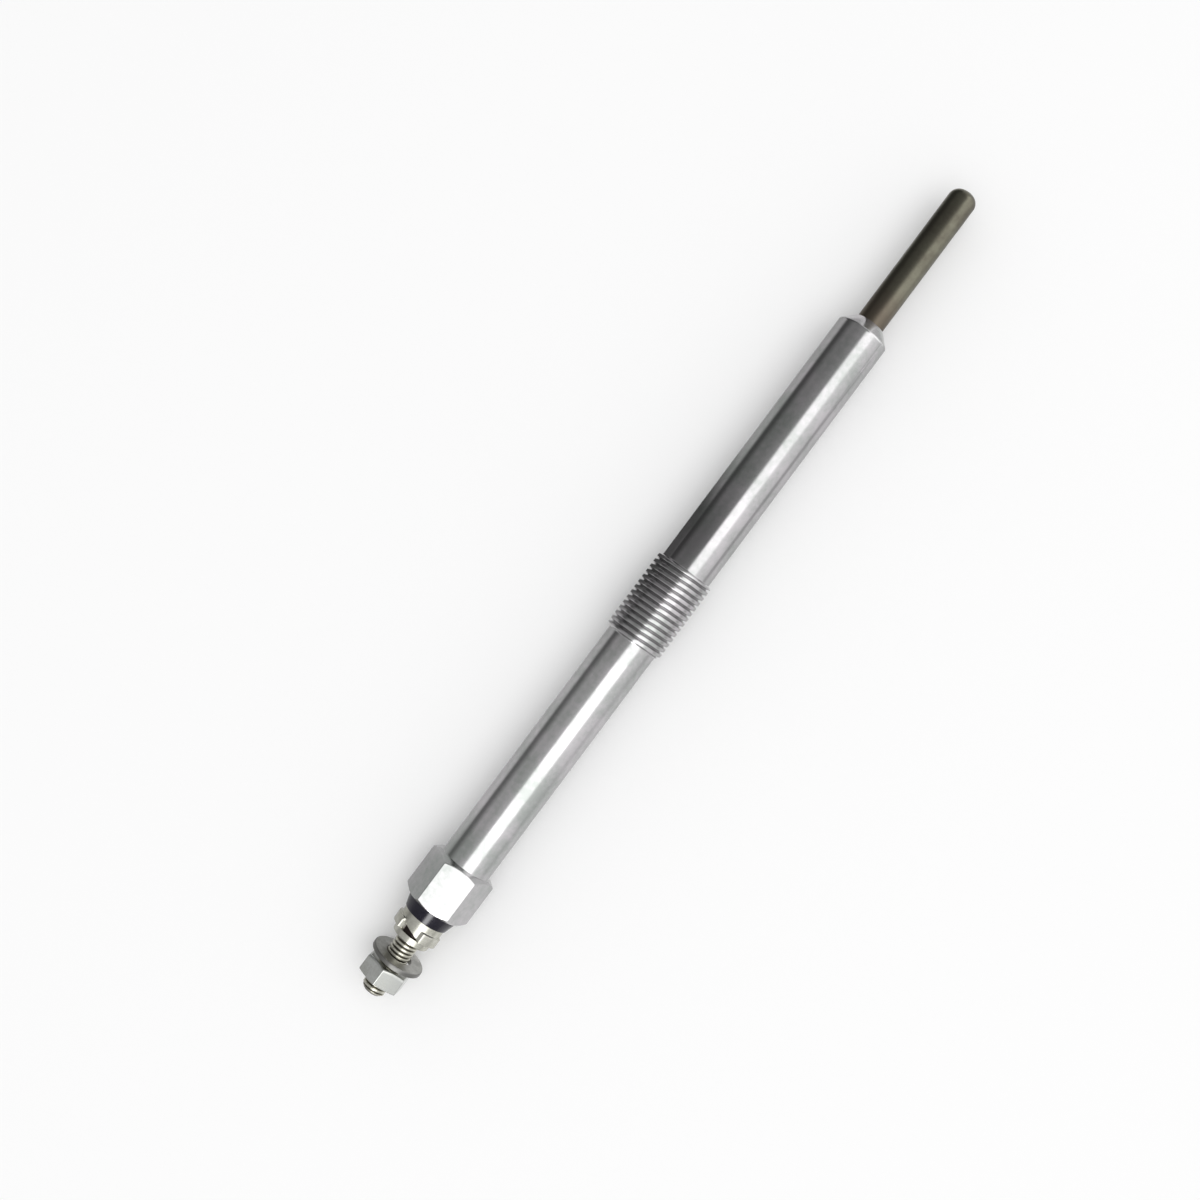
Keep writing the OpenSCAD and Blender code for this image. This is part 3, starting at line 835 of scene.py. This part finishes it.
# a bright window stands overhead, the near side is pale, and the far side falls off towards the floor
def tubeTone(spec, angle, zones, farShade):
    horizon = varied(spec["horizon"], spec["horizonBy"], zones)
    far = spec["overhead"] + (spec["middle"] - spec["overhead"]) * fade(angle, spec["middleAt"])
    far = (far + (horizon - spec["middle"]) * fade(angle, spec["horizonAt"])) * farShade
    fall = np.clip((angle - spec["nearFall"][0]) / spec["nearFall"][1], 0, 1)
    near = varied(spec["near"], spec["nearBy"], zones) + (spec["nearHorizon"] - spec["near"]) * fall
    near = near - varied(spec["foot"], spec["footBy"], zones) * fade(angle, spec["footAt"])
    sides = np.where(angle > spec["divide"], far, near) * varied(1, spec["sidesBy"], zones)
    nearEdge = varied(spec["window"][0], spec["nearEdgeBy"], zones)
    farEdge = varied(spec["window"][1], spec["farEdgeBy"], zones)
    soft = varied(spec["soft"], spec["softBy"], zones)
    lit = fade(angle, (nearEdge - soft / 2, soft)) * fade(angle, (farEdge + soft / 2, -soft))
    return sides + (varied(spec["windowTone"], spec["windowToneBy"], zones) - sides) * lit


# the far strip is dark behind the start of the front shank and where the seat's cone sees it
def farStripTone(spec, x, off, zones, farShade):
    dip = fade(x, spec["dipFrom"]) * fade(x, spec["dipTo"])
    tone = (spec["tone"] + spec["outer"] * fade(off, spec["outerAt"])) * (1 - spec["dip"] * dip)
    tone = tone * varied(1, spec["shareBy"], zones) * (1 - spec["rear"] * fade(x, spec["rearAt"]))
    tone = tone + (spec["horizon"] * farShade - tone) * fade(off, spec["horizonAt"])
    beside = fade(off, spec["seatOff"]) * fade(x - spec["seatLean"] * off, spec["seatAt"])
    tone = tone * (1 - spec["seat"] * beside)
    return tone + (spec["under"] - tone) * zones["under"] * (1 - fade(off, spec["underTo"]))


# the near strip is pale, and paler where the seat's cone sees it
def nearStripTone(spec, x, off, zones):
    tone = varied(spec["tone"], spec["toneBy"], zones) + spec["outer"] * fade(off, spec["outerAt"])
    tone = tone - varied(spec["fall"], spec["fallBy"], zones) * fade(off, spec["fallAt"])
    tone = tone + spec["seat"] * fade(off, spec["seatOff"]) * fade(x, spec["seatAt"])
    return tone + (spec["under"] - tone) * zones["under"] * (1 - fade(off, spec["underTo"]))


def makeGlow():
    material = bpy.data.materials.new("shadedTent")
    material.use_nodes = True
    tree = material.node_tree
    tree.nodes.clear()
    attribute = tree.nodes.new("ShaderNodeAttribute")
    attribute.attribute_name = "tone"
    glow = tree.nodes.new("ShaderNodeEmission")
    output = tree.nodes.new("ShaderNodeOutputMaterial")
    wire(
        tree,
        (attribute.outputs["Fac"], glow.inputs["Strength"]),
        (glow.outputs["Emission"], output.inputs["Surface"]),
    )
    return material


# tube: across = radius sin(angle), up = axis height + radius cos(angle); the strips lie flat, and off
# is how far across a row of theirs lies
def buildTent(spec):
    even = np.linspace(-spec["half"], spec["half"], spec["columns"])
    x = np.unique(np.concatenate([even, np.linspace(*spec["terminalColumns"])]))[None]
    zones = {name: fade(x, place) for name, place in spec["zones"].items()}
    off = column(np.geomspace(spec["stripFrom"], spec["radius"], spec["stripRows"]))
    angle = column(np.linspace(90.0, -90.0, spec["angles"]))
    turn = np.radians(angle)
    closeBy = 1 - np.clip((off - spec["stripFrom"]) / spec["insetReach"], 0, 1)
    strip = off - spec["inset"] * zones["under"] * closeBy
    y = np.vstack([strip, spec["radius"] * np.sin(turn) + 0 * x, -strip[::-1]])
    flat = 0 * off + spec["lift"]
    z = np.vstack([flat, axisHeight * mm + spec["radius"] * np.cos(turn), flat]) + 0 * x
    farShade = (1 - spec["farDark"] * fade(x, spec["farDarkAt"])
                + spec["farPale"] * fade(x, spec["farPaleAt"]))
    tone = np.vstack([
        farStripTone(farStripSpec, x, off, zones, farShade),
        tubeTone(tubeSpec, angle, zones, farShade),
        nearStripTone(nearStripSpec, x, off, zones)[::-1],
    ])
    tent = plainGrid("shadedTent", np.stack([x + 0 * y, y, z], -1), makeGlow())
    layer = tent.data.attributes.new("tone", "FLOAT", "POINT")
    layer.data.foreach_set("value", tone.reshape(-1).astype(np.float32))
    tent.visible_camera = tent.visible_diffuse = tent.visible_shadow = False
    tent.visible_transmission = tent.visible_volume_scatter = False


def buildLight(spec):
    lamp = bpy.data.lights.new("softBox", "AREA")
    lamp.shape = "RECTANGLE"
    lamp.size, lamp.size_y = spec["lampSize"]
    lamp.energy = spec["lampPower"]
    box = bpy.data.objects.new("softBox", lamp)
    scene.collection.objects.link(box)
    tilt = math.radians(spec["lampTilt"])
    box.matrix_world = Matrix.Rotation(tilt, 4, "X") @ Matrix.Translation((0, 0, spec["lampFar"]))
    box.visible_camera = box.visible_glossy = False
    world = bpy.data.worlds.new("studio")
    world.use_nodes = True
    sky = world.node_tree.nodes["Background"]
    sky.inputs["Color"].default_value = (1, 1, 1, 1)
    sky.inputs["Strength"].default_value = spec["worldTone"]
    scene.world = world


buildFloor(stageSpec)
buildTent(tentSpec)
buildLight(stageSpec)
print("stage built")


# camera: close above the plug and almost plumb, so that the terminal end is seen from the tip's side;
# its place is in mm, its clip in m
cameraSpec = {
    "place": (-0.384, 8.236, 220.006), "back": (0.02926, 0.00151, 0.99957),
    "right": (0.59802, -0.80132, -0.01630), "lens": 41.339, "sensor": 36.0, "clip": (0.01, 50.0),
}


def buildCamera(spec):
    back = Vector(spec["back"]).normalized()
    up = back.cross(Vector(spec["right"])).normalized()
    right = up.cross(back)
    lens = bpy.data.cameras.new("camera")
    lens.sensor_width = spec["sensor"]
    lens.lens = spec["lens"]
    lens.clip_start, lens.clip_end = spec["clip"]
    camera = bpy.data.objects.new("camera", lens)
    scene.collection.objects.link(camera)
    turn = Matrix((right, up, back)).transposed().to_4x4()
    camera.matrix_world = Matrix.Translation(Vector(spec["place"]) * mm) @ turn
    scene.camera = camera


buildCamera(cameraSpec)
print("camera placed")
